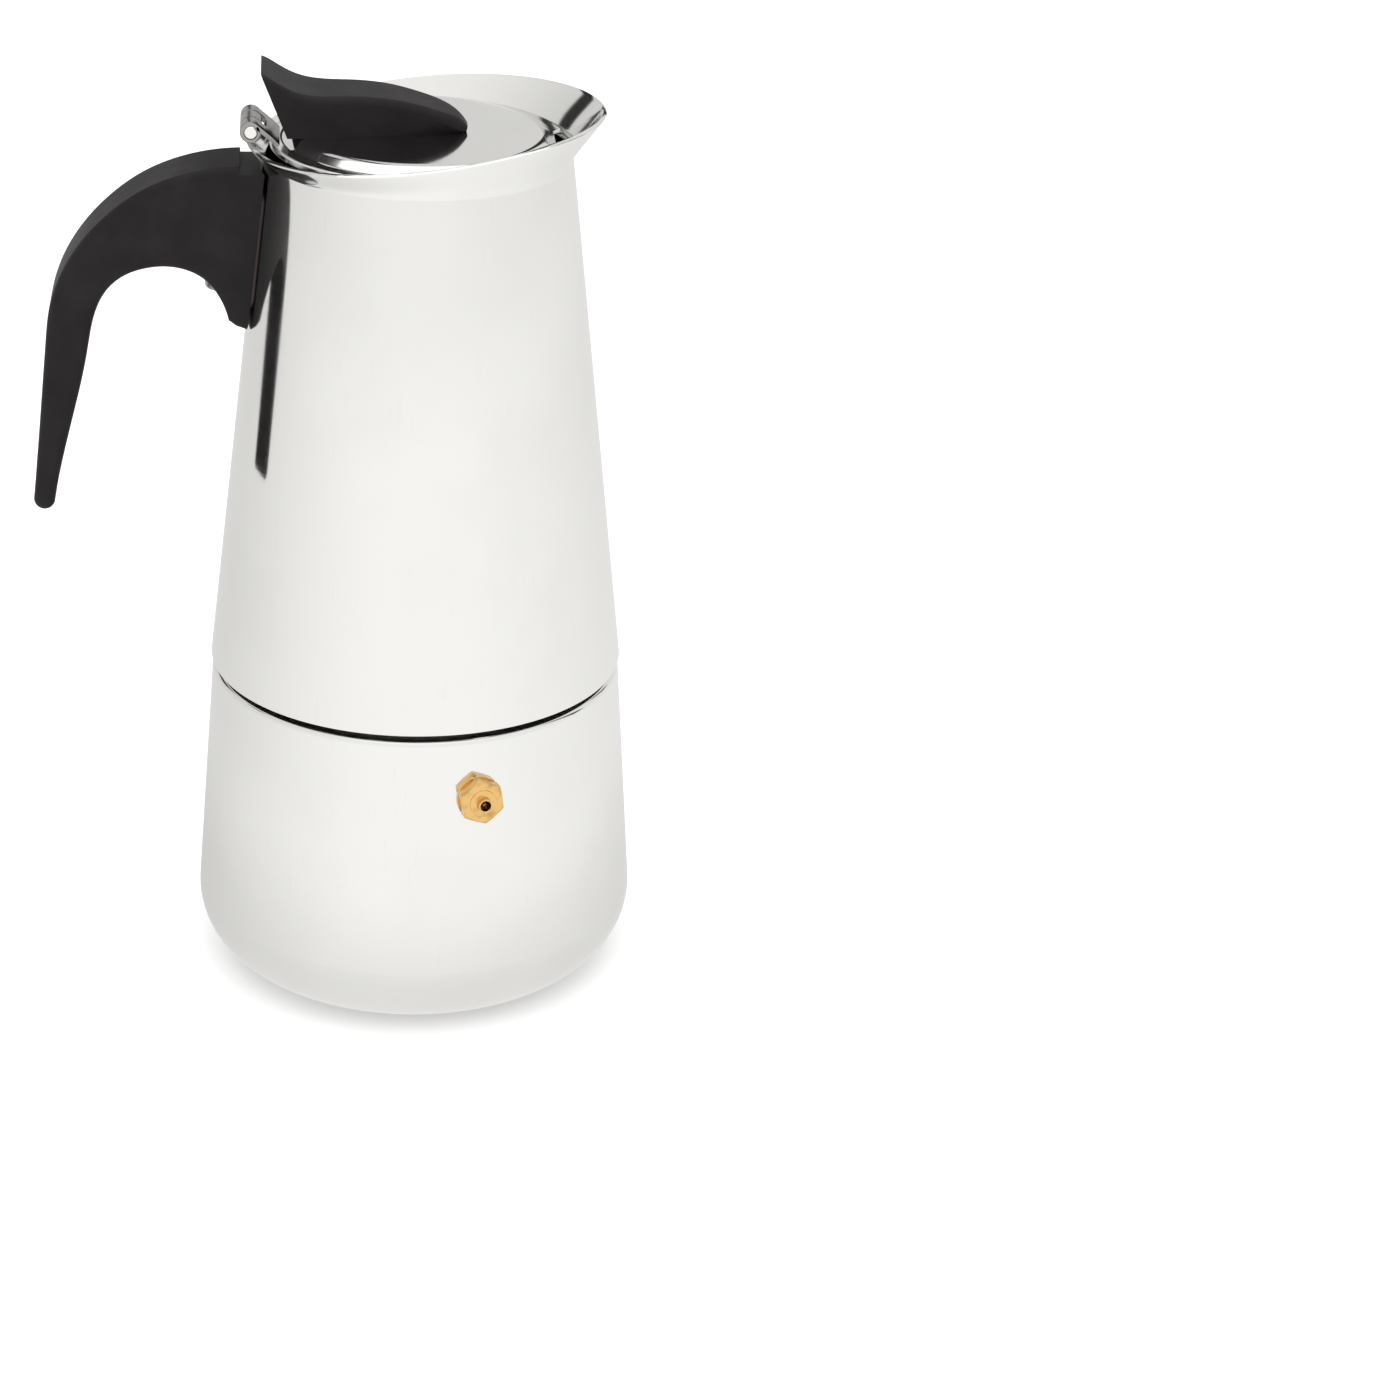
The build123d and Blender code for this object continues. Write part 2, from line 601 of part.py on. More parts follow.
with BuildPart() as handle_screw:
    with BuildSketch(Plane.XY.offset(screw_low_z)):
        with Locations((handle_screw_x, 0)):
            Circle(handle_screw_head_r)
    extrude(amount=-handle_screw_head_h)
    fillet(handle_screw.faces().sort_by(Axis.Z)[0].edges(), 1.0)
    with BuildSketch(Plane.XY.offset(screw_low_z)):
        with Locations((handle_screw_x, 0)):
            Circle(handle_screw_r)
    extrude(amount=handle_screw_bite + tongue_t)
    with Locations((handle_screw_x, 0, screw_low_z - handle_screw_head_h)):
        Box(cross_slot_w, cross_slot_l, 2 * cross_slot_d, mode=Mode.SUBTRACT)
        Box(cross_slot_l, cross_slot_w, 2 * cross_slot_d, mode=Mode.SUBTRACT)
handle_screw.part.label = "handle_screw"
export_step(handle_screw.part, "parts/handle_screw.step")

# ---------------------------------------------------------------- hinge
rim_back_r, rim_back_z = rim_point(180)
tab_foot_z = strap_top_z + 0.5
tab_bend_z = handle_step_z + 0.6
with BuildPart() as hinge_bracket:
    # the middle knuckle
    with BuildSketch(Plane.XZ):
        with Locations((hinge_x, hinge_z)):
            Circle(hinge_barrel_r)
    extrude(amount=hinge_middle_l / 2, both=True)
    # a tab from the knuckle, outside the rim, down to a foot welded on the wall
    with BuildSketch(Plane.XZ):
        with BuildLine():
            FilletPolyline((hinge_x - hinge_barrel_r, hinge_z),
                           (-rim_back_r - hinge_leaf_t - hinge_tab_gap, rim_back_z - 1),
                           (-jug_r(tab_bend_z) - hinge_leaf_t, tab_bend_z),
                           (-jug_r(tab_foot_z) - hinge_leaf_t, tab_foot_z), radius=[2.0, 1.5])
            offset(amount=hinge_leaf_t, side=Side.LEFT)
        make_face()
    extrude(amount=hinge_middle_l / 2, both=True)
    add(jug_cone(0, side_bottom_z, jug_neck_z), mode=Mode.SUBTRACT)
    with BuildSketch(Plane.XZ):
        with Locations((hinge_x, hinge_z)):
            Circle(hinge_pin_r)
    extrude(amount=hinge_length, both=True, mode=Mode.SUBTRACT)
hinge_bracket.part.label = "hinge_bracket"
export_step(hinge_bracket.part, "parts/hinge_bracket.step")

with BuildPart() as hinge_pin:
    with BuildSketch(Plane.XZ):
        with Locations((hinge_x, hinge_z)):
            Circle(hinge_pin_r)
    extrude(amount=hinge_length / 2 + 0.1, both=True)
    chamfer(hinge_pin.edges().filter_by(GeomType.CIRCLE), 0.25)
hinge_pin.part.label = "hinge_pin"
export_step(hinge_pin.part, "parts/hinge_pin.step")

# ---------------------------------------------------------------- lid
leaf_end_x = -lid_r + 2.0
with BuildPart() as lid:
    revolve(pressed_section(
        [(0, lid_crown_z), (lid_crown_r, lid_crown_z), (lid_crown_r + lid_slope_w, lid_edge_z),
         (lid_r, lid_edge_z)], [4.0, 2.0], lid_t, Side.RIGHT), axis=Axis.Z)
    # the edge is hemmed downwards
    revolve(ring_section(lid_r - lid_hem_w, lid_r, lid_edge_z - lid_hem_h, lid_edge_z - lid_t / 2),
            axis=Axis.Z)
    # the pouring notch
    with BuildSketch(Plane.XY.offset(lid_edge_z - 2 * lid_hem_h)):
        with Locations((lid_r - notch_depth, 0)):
            RectangleRounded(20, notch_w, notch_round, align=(Align.MIN, Align.CENTER))
    extrude(amount=6 * lid_hem_h, mode=Mode.SUBTRACT)
    # the hinge leaf rises from the edge and wraps the pin in a near and a far knuckle
    with BuildSketch(Plane.XZ):
        with Locations((hinge_x, hinge_z)):
            Circle(hinge_barrel_r)
    extrude(amount=hinge_length / 2, both=True)
    with BuildSketch(Plane.XZ):
        with BuildLine():
            Polyline((hinge_x + 0.5 * hinge_barrel_r, hinge_z + 0.866 * hinge_barrel_r),
                     (leaf_end_x - 1.6, lid_edge_z + 1.5), (leaf_end_x, lid_edge_z),
                     (leaf_end_x - 0.4, lid_edge_z - lid_t), (leaf_end_x - 2.6, lid_edge_z + 0.6),
                     (hinge_x + 0.2, hinge_z + 0.5 * hinge_barrel_r), close=True)
        make_face()
    extrude(amount=hinge_length / 2, both=True)
    # the window for the jug's knuckle
    with Locations((hinge_x, 0, hinge_z)):
        Box(2 * (hinge_barrel_r + 1.1), 2 * knuckle_y, 2 * (hinge_barrel_r + 1.1), mode=Mode.SUBTRACT)
    with BuildSketch(Plane.XZ):
        with Locations((hinge_x, hinge_z)):
            Circle(hinge_pin_r + pin_gap)
    extrude(amount=hinge_length, both=True, mode=Mode.SUBTRACT)
    with BuildSketch(Plane.XY.offset(lid_crown_z - 2 * lid_t)):
        with Locations(*[(x, 0) for x in knob_screw_x]):
            Circle(knob_screw_r)
    extrude(amount=4 * lid_t, mode=Mode.SUBTRACT)
lid.part.label = "lid"
export_step(lid.part, "parts/lid.step")

# ---------------------------------------------------------------- lid knob
def knob_section(base_x, top_x, rise, base_half_w, top_half_w):
    """Cross-section of the thumb lever between a line on the lid and a line on its top."""
    lean_x = top_x - base_x
    height = sqrt(lean_x**2 + rise**2)
    plane = Plane(origin=(base_x, 0, lid_crown_z), x_dir=(0, 1, 0), z_dir=(rise, 0, -lean_x))
    with BuildSketch(plane) as section:
        with BuildLine():
            FilletPolyline((-base_half_w, 0), (-top_half_w, height), (top_half_w, height), (base_half_w, 0),
                           radius=min(knob_round, 0.5 * height))
            Line((base_half_w, 0), (-base_half_w, 0))
        make_face()
    return section.sketch


knob_stations = [        # base x, top x, height, half width at the base and at the top as shares
    (-29.3, -34.9, 14.3, 0.97, 0.97),
    (-27.8, -31.8, 12.6, 0.97, 1.02),
    (-25.4, -27.4, 10.3, 0.94, 1.02),
    (-21.5, -22.3, 9.3, 0.88, 0.98),
    (-15, -15, 9.2, 0.77, 0.93),
    (-6.5, -6.5, 8.5, 0.6, 0.9),
    (1, 1, 6.7, 0.46, 0.87),
    (6.3, 6.3, 4.8, 0.36, 0.84),
    (9.2, 9.4, 2.9, 0.28, 0.68),
    (10.4, 10.7, 1.2, 0.2, 0.45)]
with BuildPart() as lid_knob:
    loft([knob_section(base_x, top_x, rise, base_share * knob_half_w, top_share * knob_half_w).face()
          for base_x, top_x, rise, base_share, top_share in knob_stations])
    with BuildSketch(Plane.XY.offset(lid_crown_z)):
        with Locations(*[(x, 0) for x in knob_screw_x]):
            Circle(knob_screw_r)
    extrude(amount=knob_screw_l, mode=Mode.SUBTRACT)
lid_knob.part.label = "lid_knob"
export_step(lid_knob.part, "parts/lid_knob.step")

with BuildPart() as knob_screws:
    with BuildSketch(Plane.XY.offset(lid_crown_z - lid_t)):
        with Locations(*[(x, 0) for x in knob_screw_x]):
            Circle(knob_screw_head_r)
    extrude(amount=-knob_screw_head_h)
    fillet(knob_screws.faces().group_by(Axis.Z)[0].edges(), 0.7)
    with BuildSketch(Plane.XY.offset(lid_crown_z - lid_t)):
        with Locations(*[(x, 0) for x in knob_screw_x]):
            Circle(knob_screw_r)
    extrude(amount=lid_t + knob_screw_l)
    with Locations(*[(x, 0, lid_crown_z - lid_t - knob_screw_head_h) for x in knob_screw_x]):
        Box(knob_slot_w, knob_slot_l, 2 * knob_slot_d, mode=Mode.SUBTRACT)
        Box(knob_slot_l, knob_slot_w, 2 * knob_slot_d, mode=Mode.SUBTRACT)
knob_screws.part.label = "knob_screws"
export_step(knob_screws.part, "parts/knob_screws.step")
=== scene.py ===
"""Polished steel moka pot on a pale floor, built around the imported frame.

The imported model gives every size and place. This script adds the finished meshes
of the pressed steel pieces, dresses every piece in its material, and sets the
studio: floor, soft light and camera.
"""
from __future__ import annotations

import logging
import math
from collections.abc import Iterable, Sequence
from dataclasses import dataclass, field
from enum import Enum

import bmesh
import bpy
from mathutils import Matrix, Vector

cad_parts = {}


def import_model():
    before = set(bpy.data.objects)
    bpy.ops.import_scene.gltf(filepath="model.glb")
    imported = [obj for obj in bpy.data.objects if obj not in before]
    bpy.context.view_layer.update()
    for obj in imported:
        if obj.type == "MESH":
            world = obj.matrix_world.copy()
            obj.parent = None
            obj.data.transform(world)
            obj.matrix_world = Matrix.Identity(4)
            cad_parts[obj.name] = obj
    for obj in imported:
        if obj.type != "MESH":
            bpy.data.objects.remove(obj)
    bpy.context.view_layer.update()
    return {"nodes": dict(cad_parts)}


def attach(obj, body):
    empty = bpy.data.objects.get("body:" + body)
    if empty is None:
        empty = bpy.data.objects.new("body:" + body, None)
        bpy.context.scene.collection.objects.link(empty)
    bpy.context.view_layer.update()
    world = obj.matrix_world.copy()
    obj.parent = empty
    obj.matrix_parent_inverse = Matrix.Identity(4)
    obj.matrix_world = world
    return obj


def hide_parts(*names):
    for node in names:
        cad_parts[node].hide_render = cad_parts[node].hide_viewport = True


log = logging.getLogger("moka_pot")

MM = 0.001
FULL_TURN = 2 * math.pi
LATHE_STEPS = 240
SMOOTH_ANGLE = math.radians(32)

Point = tuple[float, float]


# ------------------------------------------------------------------ shader maths
class Sock:
    """A shader socket or a number, on which Python's operators add Math nodes."""

    def __init__(self, bench: "Bench", link: object) -> None:
        """Wraps a socket.

        Args:
            bench: the bench that adds nodes to the socket's tree.
            link: the output socket, or a plain number.
        """
        self.bench = bench
        self.link = link

    def _math(self, operation: str, *operands: object) -> "Sock":
        """Adds one Math node.

        Args:
            operation: the Math node's operation.
            operands: what its sockets take, in order.

        Returns:
            The node's output.
        """
        return self.bench.node("ShaderNodeMath", {"operation": operation}, *operands)

    def __add__(self, other: object) -> "Sock":
        """self + other."""
        return self._math("ADD", self, other)

    __radd__ = __add__

    def __sub__(self, other: object) -> "Sock":
        """self - other."""
        return self._math("SUBTRACT", self, other)

    def __rsub__(self, other: object) -> "Sock":
        """other - self."""
        return self._math("SUBTRACT", other, self)

    def __mul__(self, other: object) -> "Sock":
        """self * other."""
        return self._math("MULTIPLY", self, other)

    __rmul__ = __mul__

    def __truediv__(self, other: object) -> "Sock":
        """self / other."""
        return self._math("DIVIDE", self, other)

    def __pow__(self, other: object) -> "Sock":
        """self ** other."""
        return self._math("POWER", self, other)

    def __abs__(self) -> "Sock":
        """abs(self)."""
        return self._math("ABSOLUTE", self)

    def root(self) -> "Sock":
        """Square root."""
        return self._math("SQRT", self)

    def sine(self) -> "Sock":
        """Sine of an angle in radians."""
        return self._math("SINE", self)

    def less(self, limit: float) -> "Sock":
        """1 where self is below the limit."""
        return self._math("LESS_THAN", self, limit)

    def clamped(self) -> "Sock":
        """self kept between 0 and 1."""
        return self.bench.node("ShaderNodeClamp", {}, self)

    def ramp(self, low: float, high: float, start: float = 0.0, end: float = 1.0) -> "Sock":
        """A smooth step.

        Args:
            low: where the step starts.
            high: where the step ends.
            start: the value below the step.
            end: the value above the step.

        Returns:
            The stepped value.
        """
        settings = {"interpolation_type": "SMOOTHSTEP"}
        return self.bench.node("ShaderNodeMapRange", settings, self, low, high, start, end)


class Bench:
    """Builds one node tree, a material's or the world's."""

    def __init__(self, tree: bpy.types.NodeTree) -> None:
        """Empties the tree.

        Args:
            tree: the node tree to build in.
        """
        self.tree = tree
        tree.nodes.clear()

    def raw(self, kind: str, settings: dict[str, object], *values: object) -> bpy.types.Node:
        """Adds a node.

        Args:
            kind: the node's type.
            settings: the node's own properties, which are set first.
            values: what its enabled input sockets take, in order. None leaves one alone.

        Returns:
            The node.
        """
        node = self.tree.nodes.new(kind)
        for name, value in settings.items():
            setattr(node, name, value)
        sockets = [socket for socket in node.inputs if socket.enabled]
        for socket, value in zip(sockets, values):
            self.feed(socket, value)
        return node

    def node(self, kind: str, settings: dict[str, object], *values: object) -> Sock:
        """Adds a node and returns its first enabled output.

        Args:
            kind: the node's type.
            settings: the node's own properties.
            values: what its enabled input sockets take, in order.

        Returns:
            The node's first enabled output.
        """
        made = self.raw(kind, settings, *values)
        return Sock(self, next(socket for socket in made.outputs if socket.enabled))

    def feed(self, socket: bpy.types.NodeSocket, value: object) -> None:
        """Links or sets a socket.

        Args:
            socket: the input socket.
            value: a Sock, a number, a colour or a vector. None leaves it alone.
        """
        if value is None:
            return
        if isinstance(value, Sock):
            value = value.link
        if isinstance(value, bpy.types.NodeSocket):
            self.tree.links.new(value, socket)
        else:
            socket.default_value = value

    def place(self) -> Sock:
        """Object coordinates, in metres in the pot's own frame."""
        made = self.raw("ShaderNodeTexCoord", {})
        return Sock(self, made.outputs["Object"])

    def parts(self, vector: Sock) -> tuple[Sock, Sock, Sock]:
        """The x, y and z of a vector."""
        made = self.raw("ShaderNodeSeparateXYZ", {}, vector)
        return tuple(Sock(self, socket) for socket in made.outputs)

    def vector(self, x: object, y: object, z: object) -> Sock:
        """A vector from its x, y and z."""
        return self.node("ShaderNodeCombineXYZ", {}, x, y, z)

    def noise(self, vector: Sock, scale: float, detail: float = 2.0, rough: float = 0.5) -> Sock:
        """Cloudy noise.

        Args:
            vector: where it is read.
            scale: waves to a metre.
            detail: octaves.
            rough: how much the finer octaves count.

        Returns:
            Values from 0 to 1.
        """
        made = self.raw("ShaderNodeTexNoise", {"noise_dimensions": "3D"})
        self.feed(made.inputs["Vector"], vector)
        self.feed(made.inputs["Scale"], scale)
        self.feed(made.inputs["Detail"], detail)
        self.feed(made.inputs["Roughness"], rough)
        return Sock(self, made.outputs[0])

    def blend(self, share: object, first: object, second: object) -> Sock:
        """A colour between two colours.

        Args:
            share: 0 for the first, 1 for the second.
            first: a colour.
            second: a colour.

        Returns:
            The mixed colour.
        """
        made = self.raw("ShaderNodeMix", {"data_type": "RGBA"})
        for name, value in (("Factor", share), ("A", first), ("B", second)):
            self.feed(next(s for s in made.inputs if s.enabled and s.name == name), value)
        return Sock(self, next(s for s in made.outputs if s.enabled))

    def bump(self, height: Sock, depth: float) -> Sock:
        """A bumped normal.

        Args:
            height: the relief, from 0 to 1.
            depth: the relief's depth in metres.

        Returns:
            The normal.
        """
        made = self.raw("ShaderNodeBump", {})
        self.feed(made.inputs["Strength"], 1.0)
        self.feed(made.inputs["Distance"], depth)
        self.feed(made.inputs["Height"], height)
        return Sock(self, made.outputs[0])

    def surface(self, **sockets: object) -> None:
        """Ends a material's tree.

        Args:
            sockets: values of the Principled shader's sockets, with _ for a space.
        """
        shader = self.raw("ShaderNodeBsdfPrincipled", {})
        for name, value in sockets.items():
            self.feed(shader.inputs[name.replace("_", " ")], value)
        out = self.raw("ShaderNodeOutputMaterial", {})
        self.tree.links.new(shader.outputs[0], out.inputs["Surface"])


def rgb(red: float, green: float, blue: float) -> tuple[float, float, float, float]:
    """An opaque colour."""
    return (red, green, blue, 1.0)


# ------------------------------------------------------------------ finishes
@dataclass(frozen=True)
class Finish:
    """A finish that dresses pieces in one material."""

    name: str

    def paint(self, bench: Bench) -> None:
        """Builds the nodes. Each finish has its own."""
        raise NotImplementedError

    def material(self) -> bpy.types.Material:
        """The finish's material, made once and named apart from the frame's own."""
        label = f"{self.name}_surface"
        made = bpy.data.materials.get(label)
        if made is None:
            made = bpy.data.materials.new(label)
            made.use_nodes = True
            self.paint(Bench(made.node_tree))
        return made

    def dress(self, piece: bpy.types.Object) -> None:
        """Gives every face of a piece this finish."""
        piece.data.materials.clear()
        piece.data.materials.append(self.material())


@dataclass(frozen=True)
class PolishedSteel(Finish):
    """Mirror-polished stainless steel with faint handling marks and buffing lines."""

    tint: tuple[float, float, float] = (0.84, 0.84, 0.83)
    roughness: float = 0.07

    def paint(self, bench: Bench) -> None:
        """Cloudy smears, fine buffing lines round the body, and a few hairline marks."""
        place = bench.place()
        x, y, z = bench.parts(place)
        smear = bench.noise(place, 38, 3).ramp(0.42, 0.68)
        lines = bench.noise(bench.vector(x * 60, y * 60, z * 2600), 1.0, 2)
        marks = bench.noise(bench.vector(x * 900, y * 900, z * 70), 1.0, 3).ramp(0.62, 0.72)
        dark = rgb(*(shade * 0.965 for shade in self.tint))
        rough = smear * 0.035 + lines * 0.03 + marks * 0.03 + self.roughness
        relief = lines * 0.5 + bench.noise(place, 55, 2) * 0.5
        bench.surface(Base_Color=bench.blend(smear * 0.6 + marks * 0.4, rgb(*self.tint), dark),
                      Metallic=1.0, Roughness=rough, Normal=bench.bump(relief, 0.000004))


@dataclass(frozen=True)
class SatinSteel(Finish):
    """Pressed steel as it leaves the tool, with rings round the pot's axis."""

    tint: tuple[float, float, float] = (0.52, 0.51, 0.50)
    roughness: float = 0.24

    def paint(self, bench: Bench) -> None:
        """Drawing rings and cloudy dulling."""
        place = bench.place()
        x, y, z = bench.parts(place)
        radius = (x * x + y * y).root()
        rings = bench.noise(bench.vector(radius * 2400, 0.0, z * 1500), 1.0, 2)
        cloud = bench.noise(place, 60, 4).ramp(0.35, 0.7)
        dark = rgb(*(shade * 0.86 for shade in self.tint))
        rough = rings * 0.12 + cloud * 0.08 + self.roughness
        bench.surface(Base_Color=bench.blend(cloud, rgb(*self.tint), dark), Metallic=1.0,
                      Roughness=rough, Normal=bench.bump(rings, 0.000012))


@dataclass(frozen=True)
class TurnedBrass(Finish):
    """Turned brass, bright, with tool marks and a little tarnish."""

    centre: tuple[float, float, float] = (0.0, 0.0, 0.0)

    def paint(self, bench: Bench) -> None:
        """Tarnish clouds and fine turning marks."""
        place = bench.place()
        tarnish = bench.noise(place, 420, 4).ramp(0.45, 0.75)
        marks = bench.noise(place, 2600, 2)
        colour = bench.blend(tarnish, rgb(0.80, 0.52, 0.20), rgb(0.58, 0.35, 0.13))
        bench.surface(Base_Color=colour, Metallic=1.0, Roughness=marks * 0.1 + tarnish * 0.1 + 0.13,
                      Normal=bench.bump(marks, 0.00001))


@dataclass(frozen=True)
class MouldedPlastic(Finish):
    """Black heat-proof plastic with a fine eroded grain and a mould parting line."""

    def paint(self, bench: Bench) -> None:
        """Grain, soft mottling, worn sheen and the parting line on the middle plane."""
        place = bench.place()
        _, y, _ = bench.parts(place)
        grain = bench.noise(place, 2600, 3, 0.65)
        mottle = bench.noise(place, 120, 4).ramp(0.35, 0.7)
        seam = abs(y).less(0.00016)
        colour = bench.blend(mottle, rgb(0.0085, 0.0070, 0.0075), rgb(0.0125, 0.0105, 0.0110))
        rough = grain * 0.16 + mottle * 0.06 + 0.36
        bench.surface(Base_Color=colour, Roughness=rough, Specular_IOR_Level=0.15,
                      Normal=bench.bump(grain * 0.8 + seam * 1.2, 0.000012))


@dataclass(frozen=True)
class Silicone(Finish):
    """Milky silicone rubber."""

    def paint(self, bench: Bench) -> None:
        """Dusty, slightly uneven rubber."""
        place = bench.place()
        dust = bench.noise(place, 300, 4).ramp(0.4, 0.7)
        colour = bench.blend(dust, rgb(0.74, 0.72, 0.67), rgb(0.84, 0.83, 0.80))
        bench.surface(Base_Color=colour, Roughness=dust * 0.15 + 0.45,
                      Normal=bench.bump(bench.noise(place, 1800, 2), 0.00002))


@dataclass(frozen=True)
class SpringWire(Finish):
    """Drawn spring wire with a dull film."""

    def paint(self, bench: Bench) -> None:
        """Greyish wire with cloudy roughness."""
        place = bench.place()
        film = bench.noise(place, 900, 3).ramp(0.35, 0.7)
        bench.surface(Base_Color=bench.blend(film, rgb(0.55, 0.55, 0.56), rgb(0.42, 0.42, 0.43)),
                      Metallic=1.0, Roughness=film * 0.15 + 0.25,
                      Normal=bench.bump(film, 0.00001))


@dataclass(frozen=True)
class PaleFloor(Finish):
    """Matte pale studio floor."""

    def paint(self, bench: Bench) -> None:
        """Almost white paper with hardly any mottling."""
        cloud = bench.noise(bench.place(), 3, 3)
        bench.surface(Base_Color=bench.blend(cloud, rgb(0.93, 0.93, 0.93), rgb(0.95, 0.95, 0.95)),
                      Roughness=0.75, Specular_IOR_Level=0.15)


@dataclass(frozen=True)
class ScreenGlow(Finish):
    """The light screen's glow: full in front of the pot, dimmer at its sides and behind it."""

    front: float = 1.09
    left: float = 0.70
    right: float = 0.86
    streaks: tuple[tuple[float, float], ...] = ((2.30, 0.16), (1.75, 0.08), (1.15, 0.10), (0.62, 0.07), (0.1, 0.10))

    def paint(self, bench: Bench) -> None:
        """A glow that falls off round the pot, with a painted shadow at the pot's foot and dark upright gaps behind
        it.
        """
        x, y, z = bench.parts(bench.place())
        radius = (x * x + y * y).root()
        angle = bench.node("ShaderNodeMath", {"operation": "ARCTAN2"}, y, x)
        behind = (y / radius * 0.5 + 0.5).clamped()
        leftward = (0.5 - x / radius * 0.5).clamped()
        dim = self.right + (self.left - self.right) * leftward
        glow = (dim - self.front) * behind + self.front
        # The dimming close to the pot's foot is a painted shadow, the floor's shade round the foot for the boiler's
        # rounding to mirror.
        glow = glow * z.ramp(0.06, 0.14, 1.0, 0.93) * radius.ramp(0.05, 0.16, 0.80, 1.0)
        for middle, half in self.streaks:
            gap = abs(angle - middle).ramp(half * 0.7, half, 0.04, 1.0)
            glow = glow * (1 - (1 - gap) * z.ramp(0.20, 0.24))
        bench.surface(Base_Color=rgb(0.0, 0.0, 0.0), Roughness=1.0, Specular_IOR_Level=0.0,
                      Emission_Color=bench.vector(glow, glow * 0.992, glow * 0.975), Emission_Strength=1.0)


class Slot(Enum):
    """The record's material slots, each with the finish that shows it."""

    POLISHED_STEEL = PolishedSteel("polished_steel")
    PRESSED_STEEL = SatinSteel("pressed_steel")
    BRASS = TurnedBrass("brass")
    BLACK_PLASTIC = MouldedPlastic("black_plastic")
    SILICONE = Silicone("silicone")
    SPRING_STEEL = SpringWire("spring_steel")


# Pressed steel of two darker kinds: the hinge's, darker than the rest of the pressed steel, and the strap's,
# near-black brown as painted shade for the handle's dark reflection and the shaded gap between handle and wall.
HINGE_STEEL = SatinSteel("hinge_steel", (0.36, 0.35, 0.34), 0.22)
STRAP_PAINTED_SHADE = SatinSteel("strap_painted_shade", (0.07, 0.055, 0.055), 0.34)


# ------------------------------------------------------------------ mesh bench
def rounded(points: Sequence[tuple[float, float, float]], steps: int = 10) -> list[Point]:
    """Rounds the corners of an open outline.

    Args:
        points: x, y and the corner's rounding radius, with 0 for a sharp corner or an end.
        steps: edges in each rounding.

    Returns:
        The outline's points, with arcs at its corners.
    """
    outline: list[Point] = []
    for index, (x, y, radius) in enumerate(points):
        here = Vector((x, y))
        if radius <= 0 or index in (0, len(points) - 1):
            outline.append((x, y))
            continue
        back = (Vector(points[index - 1][:2]) - here).normalized()
        ahead = (Vector(points[index + 1][:2]) - here).normalized()
        half = back.angle(ahead) / 2
        centre = here + (back + ahead).normalized() * (radius / math.sin(half))
        start = here + back * (radius / math.tan(half)) - centre
        sweep = start.angle_signed(here + ahead * (radius / math.tan(half)) - centre)
        for step in range(steps + 1):
            spoke = start.copy()
            spoke.rotate(Matrix.Rotation(-sweep * step / steps, 2))
            outline.append(tuple(centre + spoke))
    return outline


def chain(bm: bmesh.types.BMesh, points: Iterable[Vector], closed: bool = False) -> list:
    """Adds a line of edges to a bmesh.

    Args:
        bm: the bmesh.
        points: the line's points.
        closed: whether the last point joins the first.

    Returns:
        The new vertices and edges.
    """
    verts = [bm.verts.new(point) for point in points]
    pairs = list(zip(verts, verts[1:]))
    if closed:
        pairs.append((verts[-1], verts[0]))
    return verts + [bm.edges.new(pair) for pair in pairs]


def lathe(outline: Sequence[Point], steps: int = LATHE_STEPS) -> bmesh.types.BMesh:
    """Spins an outline round the pot's axis.

    Args:
        outline: radius and height of each point, in metres.
        steps: faces round the axis.

    Returns:
        A bmesh with the turned skin, its doubles merged.
    """
    bm = bmesh.new()
    geom = chain(bm, [Vector((radius, 0, height)) for radius, height in outline])
    bmesh.ops.spin(bm, geom=geom, cent=(0, 0, 0), axis=(0, 0, 1), angle=FULL_TURN, steps=steps,
                   use_merge=True)
    bmesh.ops.remove_doubles(bm, verts=bm.verts, dist=0.01 * MM)
    return bm


def soften(bm: bmesh.types.BMesh, width: float, angle: float = 50, segments: int = 2) -> None:
    """Bevels every edge that turns sharply.

    Args:
        bm: the bmesh.
        width: the bevel's width in metres.
        angle: the smallest turn in degrees that counts as sharp.
        segments: faces across the bevel.
    """
    limit = math.radians(angle)
    sharp = [edge for edge in bm.edges
             if len(edge.link_faces) == 2 and edge.calc_face_angle() > limit]
    bmesh.ops.bevel(bm, geom=sharp, offset=width, affect="EDGES", segments=segments, profile=0.5,
                    material=-1, clamp_overlap=True)


@dataclass
class Piece:
    """What a finished mesh needs to join the pot."""

    name: str
    body: str
    slot: Slot
    stands_for: tuple[str, ...] = ()

    def make(self, bm: bmesh.types.BMesh, outward: bool = True) -> bpy.types.Object:
        """Turns a bmesh into a dressed object that rides on its body.

        Args:
            bm: the mesh, which is used up.
            outward: whether the normals are recalculated first.

        Returns:
            The new object.
        """
        if outward:
            bmesh.ops.recalc_face_normals(bm, faces=bm.faces)
        mesh = bpy.data.meshes.new(self.name)
        bm.to_mesh(mesh)
        bm.free()
        mesh.polygons.foreach_set("use_smooth", [True] * len(mesh.polygons))
        mesh.set_sharp_from_angle(angle=SMOOTH_ANGLE)
        thing = bpy.data.objects.new(self.name, mesh)
        bpy.context.scene.collection.objects.link(thing)
        self.slot.value.dress(thing)
        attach(thing, self.body)
        if self.stands_for:
            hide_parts(*self.stands_for)
        log.info("%s rides on %s, %d faces", self.name, self.body, len(mesh.polygons))
        return thing


def wall(bm: bmesh.types.BMesh, thickness: float) -> None:
    """Gives a skin a wall on its inner side.

    Args:
        bm: the skin, whose normals are made to point outwards first.
        thickness: the wall's thickness in metres.
    """
    bmesh.ops.recalc_face_normals(bm, faces=bm.faces)
    bmesh.ops.solidify(bm, geom=bm.faces[:], thickness=thickness)


